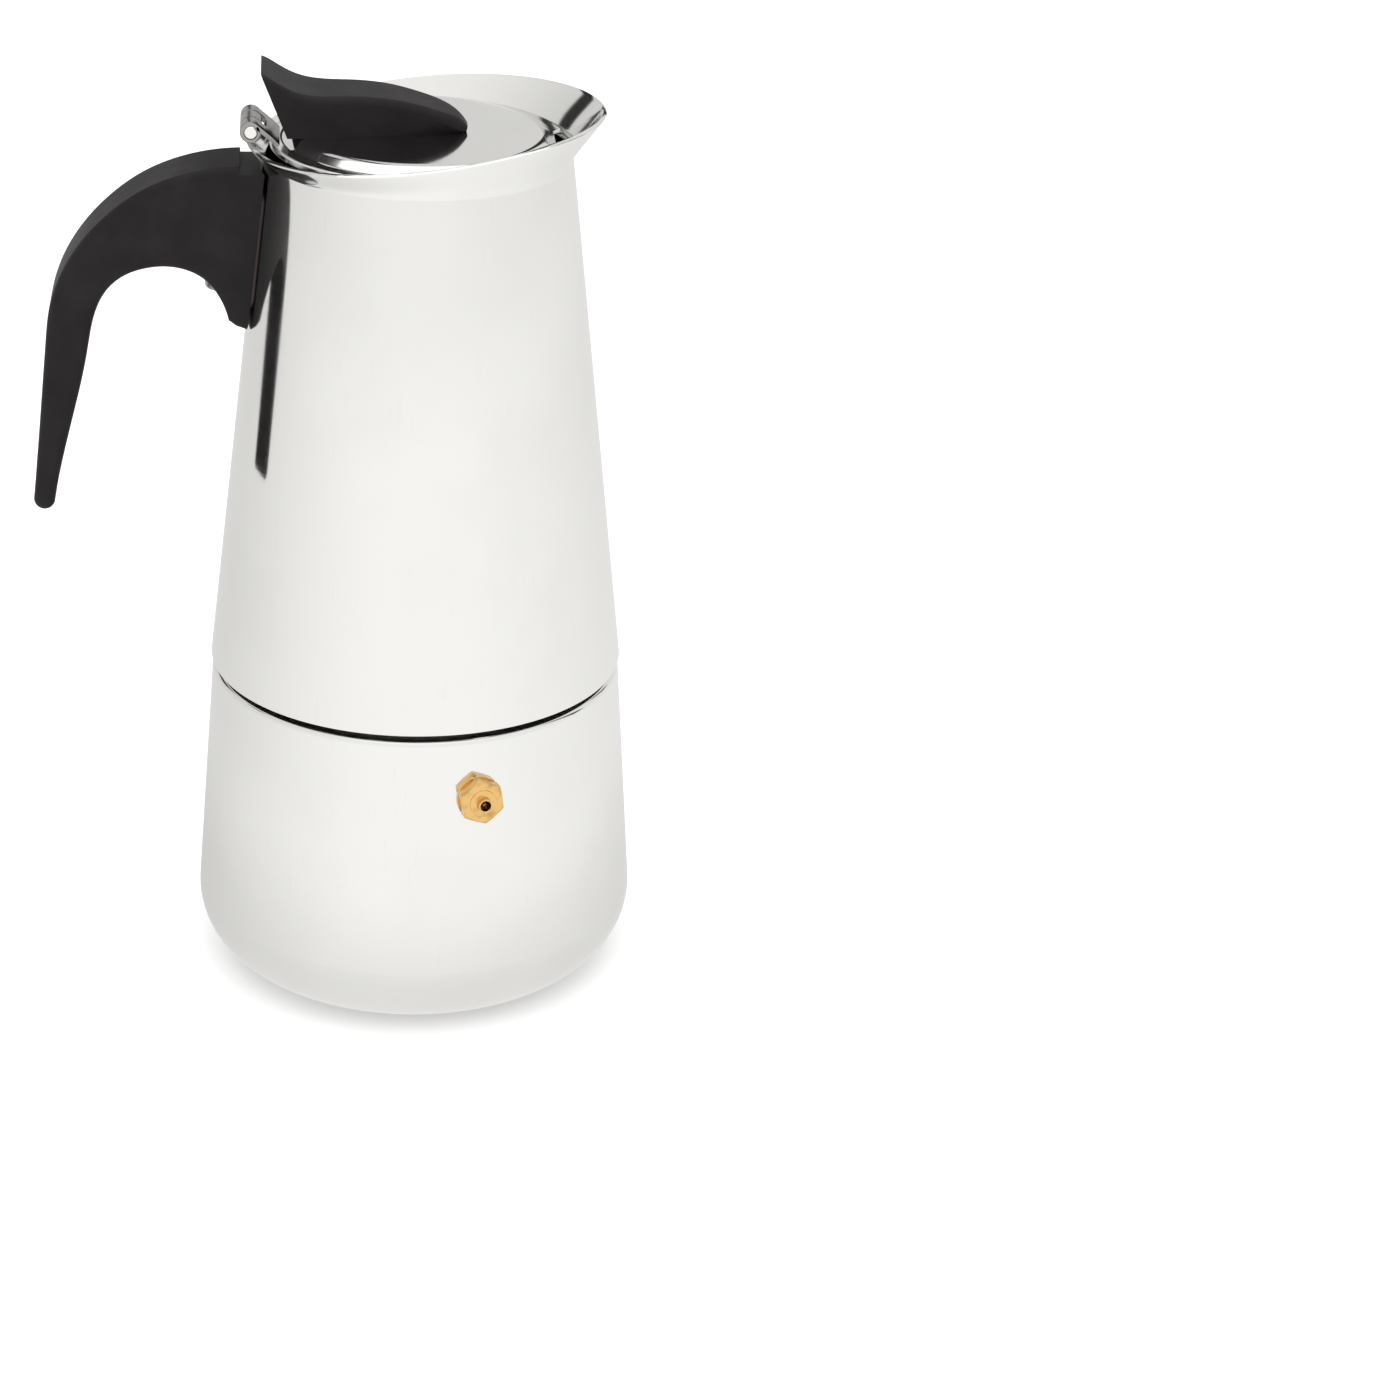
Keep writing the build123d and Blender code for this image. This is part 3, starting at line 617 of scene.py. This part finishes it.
def pierce(bm: bmesh.types.BMesh, axis: Matrix, radius: float, sides: int = 16) -> None:
    """Cuts a round hole through a wall.

    Args:
        bm: the wall, closed.
        axis: the hole's own axes, with its centre on the wall's outer face and +Z outwards.
        radius: the hole's radius in metres.
        sides: number of flat cuts round it.
    """
    into = axis.inverted()
    outs = [axis.to_3x3() @ Vector((math.cos(FULL_TURN * k / sides), math.sin(FULL_TURN * k / sides), 0))
            for k in range(sides)]

    def near(face: bmesh.types.BMFace) -> bool:
        """Whether a face is at the hole."""
        return any((into @ vert.co).length < 1.25 * radius for vert in face.verts)

    for out in outs:
        faces = [face for face in bm.faces if near(face)]
        cut = [*faces, *{edge for face in faces for edge in face.edges},
               *{vert for face in faces for vert in face.verts}]
        bmesh.ops.bisect_plane(bm, geom=cut, plane_co=axis.translation + out * radius, plane_no=out,
                               dist=1e-7)
    inside = [face for face in bm.faces if near(face)
              and all((face.calc_center_median() - axis.translation).dot(out) < radius for out in outs)]
    bmesh.ops.delete(bm, geom=inside, context="FACES")
    bmesh.ops.bridge_loops(bm, edges=[edge for edge in bm.edges if edge.is_boundary])


def strung(outline: Sequence[Point], spacing: float = 4 * MM) -> list[Point]:
    """Adds points to the long straight runs of an outline, close to their ends and along them.

    Args:
        outline: the outline's points.
        spacing: the longest run left whole, in metres.

    Returns:
        The outline with the added points, which keep smooth shading off the straight runs.
    """
    run: list[Point] = [outline[0]]
    for (x0, y0), (x1, y1) in zip(outline, outline[1:]):
        length = math.hypot(x1 - x0, y1 - y0)
        if length > spacing:
            count = math.ceil(length / spacing)
            shares = [0.05 / count, *(k / count for k in range(1, count)), 1 - 0.05 / count]
            run += [(x0 + (x1 - x0) * share, y0 + (y1 - y0) * share) for share in shares]
        run.append((x1, y1))
    return run


def in_mm(points: Iterable[tuple[float, ...]]) -> list[tuple[float, ...]]:
    """The same points in metres."""
    return [tuple(value * MM for value in point) for point in points]


# ------------------------------------------------------------------ safety valve
@dataclass
class SafetyValve:
    """The brass valve in the boiler's side: a hexagon with a turned boss and a nozzle."""

    axis_z: float = 61.8
    azimuth: float = -75.0
    across_flats: float = 9.5
    turn: float = 8.0
    hex_low: float = 0.5
    hex_top: float = 3.6
    crown_r: float = 4.6
    wall_slope: float = 0.0719
    wall_r: float = 49.235

    def matrix(self) -> Matrix:
        """Turns the valve's own axes, with +Z outwards, into the pot's."""
        angle = math.radians(self.azimuth)
        out = Vector((math.cos(angle), math.sin(angle), self.wall_slope)).normalized()
        side = Vector((-math.sin(angle), math.cos(angle), 0))
        up = out.cross(side)
        foot = Vector((math.cos(angle) * self.wall_r, math.sin(angle) * self.wall_r, self.axis_z)) * MM
        return Matrix.Translation(foot) @ Matrix((side, up, out)).transposed().to_4x4()

    def hexagon_r(self, angle: float) -> float:
        """Radius of the hexagon's outline, in millimetres, at an angle round the valve."""
        sector = math.radians(60)
        from_flat = (angle - math.radians(self.turn) + sector / 2) % sector - sector / 2
        return self.across_flats / 2 / math.cos(from_flat)

    def build(self) -> None:
        """Turns the body and cuts its flats."""
        corner = self.across_flats / 2 / math.cos(math.radians(30))
        outline = rounded(in_mm([
            (1.25, 1.6, 0), (1.25, 5.65, 0.12), (1.7, 5.65, 0.14), (1.7, 3.95, 0.12), (3.15, 3.95, 0.1),
            (3.15, self.hex_top, 0.08), (self.crown_r, self.hex_top, 0), (corner, self.hex_top - 0.5, 0),
            (corner, self.hex_low, 0), (3.5, self.hex_low, 0), (3.5, -7, 0), (2.3, -7, 0), (2.3, 1.6, 0)]), 4)
        body = lathe([*outline, outline[0]], 144)
        for vert in body.verts:
            radius = math.hypot(vert.co.x, vert.co.y)
            if radius > (corner - 0.01) * MM:
                limit = self.hexagon_r(math.atan2(vert.co.y, vert.co.x)) * MM
                vert.co.x *= limit / radius
                vert.co.y *= limit / radius
                if vert.co.z > 1 * MM:
                    slant = (limit - self.crown_r * MM) * math.tan(math.radians(30))
                    vert.co.z = self.hex_top * MM - slant
        soften(body, 0.07 * MM, 24, 2)
        body.transform(self.matrix())
        Piece("valve_hexagon", "boiler", Slot.BRASS, ("valve_body",)).make(body)


# ------------------------------------------------------------------ boiler
@dataclass
class Boiler:
    """The lower vessel: a tapered cup with a rounded bottom and a threaded neck."""

    side_r: float = 52.5
    shoulder_r: float = 48.2
    shoulder_z: float = 76.2
    bottom_round: float = 16.4
    shoulder_round: float = 1.6
    neck_r: float = 35.0
    mouth_z: float = 88.2
    thickness: float = 1.0
    groove_r: tuple[float, float] = (22.5, 29.5)
    groove_d: float = 0.6
    rib_pitch: float = 3.0
    rib_turns: float = 2.0
    rib_h: float = 0.6
    rib_w: float = 1.3
    valve: SafetyValve = field(default_factory=SafetyValve)
    valve_hole_r: float = 3.55

    def foot_r(self) -> float:
        """Radius where the side's line meets the table."""
        slope = (self.side_r - self.shoulder_r) / (self.shoulder_z - self.bottom_round)
        return self.side_r + self.bottom_round * slope

    def build(self) -> None:
        """Makes the shell and the rib rolled round its neck."""
        inner, outer = self.groove_r
        slant = self.groove_d
        path = rounded(in_mm([
            (0, 0, 0), (inner, 0, 0.5), (inner + slant, self.groove_d, 0.5),
            (outer - slant, self.groove_d, 0.5), (outer, 0, 0.5),
            (self.foot_r(), 0, self.bottom_round), (self.shoulder_r, self.shoulder_z, self.shoulder_round),
            (self.neck_r, self.shoulder_z, 1.2), (self.neck_r, self.mouth_z, 0)]), 16)
        shell = lathe(strung(path))
        wall(shell, self.thickness * MM)
        soften(shell, 0.2 * MM, 70)
        pierce(shell, self.valve.matrix(), self.valve_hole_r * MM)
        Piece("boiler_skin", "boiler", Slot.POLISHED_STEEL, ("boiler_shell",)).make(shell)
        start = self.shoulder_z + self.rib_pitch
        rib = screw_rib(self.neck_r - 0.2, self.rib_h + 0.2, self.rib_w, start, self.rib_pitch, self.rib_turns)
        Piece("boiler_thread", "boiler", Slot.POLISHED_STEEL).make(rib)


def screw_rib(root_r: float, height: float, width: float, start_z: float, pitch: float,
              turns: float) -> bmesh.types.BMesh:
    """A rolled rib that climbs round the pot's axis.

    Args:
        root_r: radius of its root, in millimetres as are all the sizes.
        height: how far it stands out; negative to stand inwards.
        width: its width at the root.
        start_z: height of its first turn.
        pitch: climb of a turn.
        turns: number of turns.

    Returns:
        The closed rib.
    """
    bm = bmesh.new()
    crest = root_r + height
    section = in_mm([(root_r, start_z - width / 2), (crest, start_z - width / 5),
                     (crest, start_z + width / 5), (root_r, start_z + width / 2)])
    geom = chain(bm, [Vector((x, 0, z)) for x, z in section], closed=True)
    steps = round(120 * turns)
    bmesh.ops.spin(bm, geom=geom, cent=(0, 0, 0), axis=(0, 0, 1), dvec=(0, 0, pitch * turns * MM / steps),
                   angle=FULL_TURN * turns, steps=steps)
    bmesh.ops.holes_fill(bm, edges=[edge for edge in bm.edges if edge.is_boundary], sides=4)
    return bm


# ------------------------------------------------------------------ jug
@dataclass
class Jug:
    """The upper vessel's wall: a straight taper that flares into a rim with a pouring lip."""

    foot_r: float = 47.63
    foot_z: float = 77.9
    neck_r: float = 33.8
    neck_z: float = 199.6
    thickness: float = 0.9
    rim_r: float = 36.6
    rim_z: float = 207.0
    tilt: float = 4.5
    lip_reach: float = 4.5
    lip_drop: float = 0.7
    lip_power: float = 8

    def rim(self, angle: float) -> Point:
        """Radius and height of the rim's edge at an angle from the lip, in millimetres."""
        ahead = math.cos(angle)
        lip = ((1 + ahead) / 2) ** self.lip_power
        return (self.rim_r + self.lip_reach * lip,
                self.rim_z + self.tilt * ahead - self.lip_drop * lip)

    def flare(self, steps: int = 22) -> list[Point]:
        """The flare's outline at the pot's sides, from the neck to the edge."""
        slope = (self.foot_r - self.neck_r) / (self.neck_z - self.foot_z)
        rise, reach = self.rim_z - self.neck_z, self.rim_r - self.neck_r
        handles = [Vector(p) for p in (
            (self.neck_r, self.neck_z), (self.neck_r - 0.2 * rise * slope, self.neck_z + 0.2 * rise),
            (self.rim_r - 0.5 * reach, self.rim_z - 0.45 * rise), (self.rim_r, self.rim_z))]
        points = []
        for step in range(1, steps + 1):
            t = step / steps
            weights = ((1 - t) ** 3, 3 * t * (1 - t) ** 2, 3 * t * t * (1 - t), t ** 3)
            points.append(tuple(sum((w * h for w, h in zip(weights, handles)), Vector((0, 0)))))
        return points

    def build(self) -> None:
        """Makes the wall and draws its rim out into the lip."""
        side = strung(in_mm([(self.foot_r, self.foot_z), (self.neck_r, self.neck_z)]))
        skin = lathe(side + in_mm(self.flare()), 360)
        rise, reach = self.rim_z - self.neck_z, self.rim_r - self.neck_r
        for vert in skin.verts:
            radius, height = math.hypot(vert.co.x, vert.co.y) / MM, vert.co.z / MM
            if height > self.neck_z:
                edge_r, edge_z = self.rim(math.atan2(vert.co.y, vert.co.x))
                pulled = self.neck_r + (radius - self.neck_r) * (edge_r - self.neck_r) / reach
                vert.co.x *= pulled / radius
                vert.co.y *= pulled / radius
                vert.co.z = (self.neck_z + (height - self.neck_z) * (edge_z - self.neck_z) / rise) * MM
        wall(skin, self.thickness * MM)
        soften(skin, 0.22 * MM, 60, 3)
        Piece("jug_skin", "jug", Slot.POLISHED_STEEL, ("jug_shell",)).make(skin)


# ------------------------------------------------------------------ hinge and lid
@dataclass
class Hinge:
    """The lid's half of the hinge: a leaf with two knuckles."""

    x: float = -37.3
    z: float = 206.3
    barrel_r: float = 2.4
    bore_r: float = 1.56
    length: float = 14.3
    window: float = 2.45
    leaf: tuple[Point, ...] = ((-35.65, 207.9), (-32.6, 205.3), (-30.8, 203.4))
    leaf_t: float = 0.9

    def knuckle(self, low_y: float, high_y: float) -> bmesh.types.BMesh:
        """A hollow knuckle between two places along the hinge's axis, in millimetres."""
        bm = bmesh.new()
        ring = rounded([(self.bore_r, low_y, 0), (self.barrel_r, low_y, 0.3), (self.barrel_r, high_y, 0.3),
                        (self.bore_r, high_y, 0)], 4)
        points = [Vector(((self.x + radius) * MM, y * MM, self.z * MM)) for radius, y in ring]
        geom = chain(bm, points, closed=True)
        bmesh.ops.spin(bm, geom=geom, cent=(self.x * MM, 0, self.z * MM), axis=(0, 1, 0),
                       angle=FULL_TURN, steps=64, use_merge=True)
        bmesh.ops.remove_doubles(bm, verts=bm.verts, dist=0.005 * MM)
        return bm

    def build(self) -> None:
        """Makes the leaf with its window and the two knuckles."""
        half = self.length / 2
        plate = bmesh.new()
        chain(plate, [Vector((x * MM, -half * MM, z * MM)) for x, z in strung(self.leaf, 1.0)])
        strips = [(-half, -self.window), (-self.window, self.window), (self.window, half)]
        rows = plate.edges[:]
        for low, high in strips:
            made = bmesh.ops.extrude_edge_only(plate, edges=rows)["geom"]
            moved = [v for v in made if isinstance(v, bmesh.types.BMVert)]
            bmesh.ops.translate(plate, verts=moved, vec=(0, (high - low) * MM, 0))
            rows = [e for e in made if isinstance(e, bmesh.types.BMEdge)
                    and all(abs(v.co.y - high * MM) < 1e-6 for v in e.verts)]
        hole = [face for face in plate.faces if abs(face.calc_center_median().y) < self.window * MM
                and face.calc_center_median().x < (self.x + self.barrel_r + 1.1) * MM]
        bmesh.ops.delete(plate, geom=hole, context="FACES")
        wall(plate, self.leaf_t * MM)
        soften(plate, 0.18 * MM, 60)
        knuckles = {"lid_knuckle_near": (-half, -self.window), "lid_knuckle_far": (self.window, half)}
        hinged = [Piece("lid_leaf", "lid", Slot.PRESSED_STEEL).make(plate)]
        for name, (low, high) in knuckles.items():
            hinged.append(Piece(name, "lid", Slot.PRESSED_STEEL).make(self.knuckle(low, high)))
        for piece in hinged:
            HINGE_STEEL.dress(piece)


@dataclass
class Lid:
    """The pressed lid: a flat crown, a slope, a flat edge with a hem, and the pouring notch."""

    edge_r: float = 33.3
    edge_z: float = 203.6
    crown_r: float = 27.6
    crown_z: float = 205.5
    slope_w: float = 2.9
    thickness: float = 0.8
    hem_h: float = 1.4
    notch_w: float = 15.5
    notch_depth: float = 3.0
    notch_round: float = 3.5

    def notch_planes(self) -> list[tuple[Vector, Vector]]:
        """Point and outward direction of each plane round the notch, its corners in five cuts."""
        half = self.notch_w / 2
        back = self.edge_r - self.notch_depth
        planes = []
        for side in (-1, 1):
            centre = Vector((back + self.notch_round, side * (half - self.notch_round), self.edge_z)) * MM
            for turn in (0, 22.5, 45, 67.5, 90):
                angle = math.radians(turn)
                out = Vector((-math.cos(angle), side * math.sin(angle), 0))
                planes.append((centre + out * self.notch_round * MM, out))
        return planes

    def build(self) -> None:
        """Turns the skin, cuts the notch and gives it a wall."""
        path = rounded(in_mm([
            (0, self.crown_z, 0), (self.crown_r, self.crown_z, 4.0),
            (self.crown_r + self.slope_w, self.edge_z, 2.0), (self.edge_r, self.edge_z, 0.5),
            (self.edge_r, self.edge_z - self.hem_h, 0)]), 10)
        skin = lathe(strung(path), 360)
        planes = self.notch_planes()
        for point, out in planes:
            near = [face for face in skin.faces if face.calc_center_median().x > 28 * MM
                    and abs(face.calc_center_median().y) < 11 * MM]
            cut = [*near, *{edge for face in near for edge in face.edges},
                   *{vert for face in near for vert in face.verts}]
            bmesh.ops.bisect_plane(skin, geom=cut, plane_co=point, plane_no=out, dist=1e-7)
        inside = [face for face in skin.faces if face.calc_center_median().x > 28 * MM
                  and all((face.calc_center_median() - point).dot(out) < 0 for point, out in planes)]
        bmesh.ops.delete(skin, geom=inside, context="FACES")
        wall(skin, self.thickness * MM)
        Piece("lid_skin", "lid", Slot.POLISHED_STEEL, ("lid",)).make(skin)


# ------------------------------------------------------------------ the rest of the frame
@dataclass(frozen=True)
class Dressing:
    """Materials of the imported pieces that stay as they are."""

    slots: dict[Slot, tuple[str, ...]] = field(default_factory=lambda: {
        Slot.PRESSED_STEEL: ("jug_floor", "riser_tube", "riser_cap", "funnel_basket", "funnel_stem",
                             "funnel_screen", "filter_plate", "handle_bracket", "handle_screw",
                             "hinge_bracket", "knob_screws"),
        Slot.POLISHED_STEEL: ("hinge_pin",),
        Slot.BRASS: ("valve_washer", "valve_nut", "valve_retainer", "valve_poppet"),
        Slot.BLACK_PLASTIC: ("lid_knob", "handle"),
        Slot.SILICONE: ("gasket",),
        Slot.SPRING_STEEL: ("valve_spring",),
    })

    def apply(self, nodes: dict[str, bpy.types.Object]) -> None:
        """Dresses the nodes.

        Args:
            nodes: the frame's nodes by name.
        """
        for slot, names in self.slots.items():
            for name in names:
                slot.value.dress(nodes[name])
                log.info("%s is dressed in %s", name, slot.value.name)
        HINGE_STEEL.dress(nodes["hinge_bracket"])
        # The strap's near-black tint is painted shade: the handle's dark reflection and the shade between handle
        # and wall.
        STRAP_PAINTED_SHADE.dress(nodes["handle_bracket"])


# ------------------------------------------------------------------ studio
@dataclass(frozen=True)
class Softbox:
    """A large soft light aimed at the pot."""

    name: str
    place: tuple[float, float, float]
    size: tuple[float, float]
    power: float
    target: tuple[float, float, float] = (0.0, 0.0, 0.1)

    def build(self) -> None:
        """Makes the light."""
        data = bpy.data.lights.new(self.name, "AREA")
        data.shape = "RECTANGLE"
        data.size, data.size_y = self.size
        data.energy = self.power
        lamp = bpy.data.objects.new(self.name, data)
        bpy.context.scene.collection.objects.link(lamp)
        lamp.location = self.place
        aim = Vector(self.target) - Vector(self.place)
        lamp.visible_glossy = False
        lamp.rotation_euler = aim.to_track_quat("-Z", "Y").to_euler()
        log.info("light %s", self.name)


@dataclass(frozen=True)
class Screen:
    """A light screen round the pot and a sheet under it, which only glossy surfaces mirror."""

    name: str = "light_screen"
    radius: float = 0.5
    height: float = 0.9
    sheet_r: float = 0.03
    lift: float = 0.0004

    def build(self) -> None:
        """Makes the screen, hidden from the camera, from shadows and from matte surfaces."""
        bm = lathe([(self.sheet_r, self.lift), (self.radius, self.lift), (self.radius, self.height)], 96)
        mesh = bpy.data.meshes.new(self.name)
        bm.to_mesh(mesh)
        bm.free()
        screen = bpy.data.objects.new(self.name, mesh)
        bpy.context.scene.collection.objects.link(screen)
        ScreenGlow("screen_glow").dress(screen)
        screen.visible_camera = False
        screen.visible_shadow = False
        screen.visible_diffuse = False
        log.info("light screen")


@dataclass
class Studio:
    """Pale floor, bright tent, soft lights and the camera."""

    camera_at: tuple[float, float, float] = (-0.0265, -0.7595, 0.4318)
    look: tuple[float, float, float] = (0.1123, 0.8939, -0.4341)
    roll: float = 0.045
    lens: float = 89.8
    floor_r: float = 1.6
    boxes: tuple[Softbox, ...] = (
        Softbox("over", (0.0, -0.1, 1.5), (1.8, 1.8), 7),
        Softbox("front_left", (-1.1, -1.2, 0.8), (1.2, 1.6), 4),
        Softbox("right", (1.4, -0.5, 0.7), (1.2, 1.6), 3),
    )
    screen: Screen = Screen()

    def floor(self) -> None:
        """A large round floor under the pot."""
        bm = bmesh.new()
        bmesh.ops.create_circle(bm, cap_ends=True, segments=128, radius=self.floor_r)
        mesh = bpy.data.meshes.new("floor")
        bm.to_mesh(mesh)
        bm.free()
        floor = bpy.data.objects.new("floor", mesh)
        bpy.context.scene.collection.objects.link(floor)
        PaleFloor("floor_paper").dress(floor)

    def tent(self) -> None:
        """The white tent all round, as the world's light."""
        world = bpy.data.worlds.new("tent")
        bpy.context.scene.world = world
        world.use_nodes = True
        bench = Bench(world.node_tree)
        light = bench.raw("ShaderNodeBackground", {}, rgb(1.0, 1.0, 1.0), 1.3)
        out = bench.raw("ShaderNodeOutputWorld", {})
        world.node_tree.links.new(light.outputs[0], out.inputs["Surface"])

    def camera(self) -> None:
        """The camera, slightly rolled, looking down at the pot from its front left."""
        look = Vector(self.look).normalized()
        right = look.cross(Vector((0, 0, 1))).normalized()
        up = right.cross(look)
        x_axis = right * math.cos(self.roll) + up * math.sin(self.roll)
        y_axis = up * math.cos(self.roll) - right * math.sin(self.roll)
        data = bpy.data.cameras.new("camera")
        data.lens = self.lens
        data.sensor_width = 36
        camera = bpy.data.objects.new("camera", data)
        bpy.context.scene.collection.objects.link(camera)
        turn = Matrix((x_axis, y_axis, -look)).transposed().to_4x4()
        camera.matrix_world = Matrix.Translation(self.camera_at) @ turn
        bpy.context.scene.camera = camera
        bpy.context.scene.view_settings.view_transform = "Standard"

    def build(self) -> None:
        """Sets everything up."""
        self.floor()
        self.tent()
        for box in self.boxes:
            box.build()
        self.screen.build()
        self.camera()
        log.info("studio with %d lights", len(self.boxes))


def main() -> None:
    """Builds the pot round the frame and sets the studio."""
    logging.basicConfig(level=logging.INFO, format="%(name)s: %(message)s")
    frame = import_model()
    for assembly in (Boiler(), SafetyValve(), Jug(), Hinge(), Lid()):
        assembly.build()
    Dressing().apply(frame["nodes"])
    Studio().build()


if __name__ == "__main__":
    main()
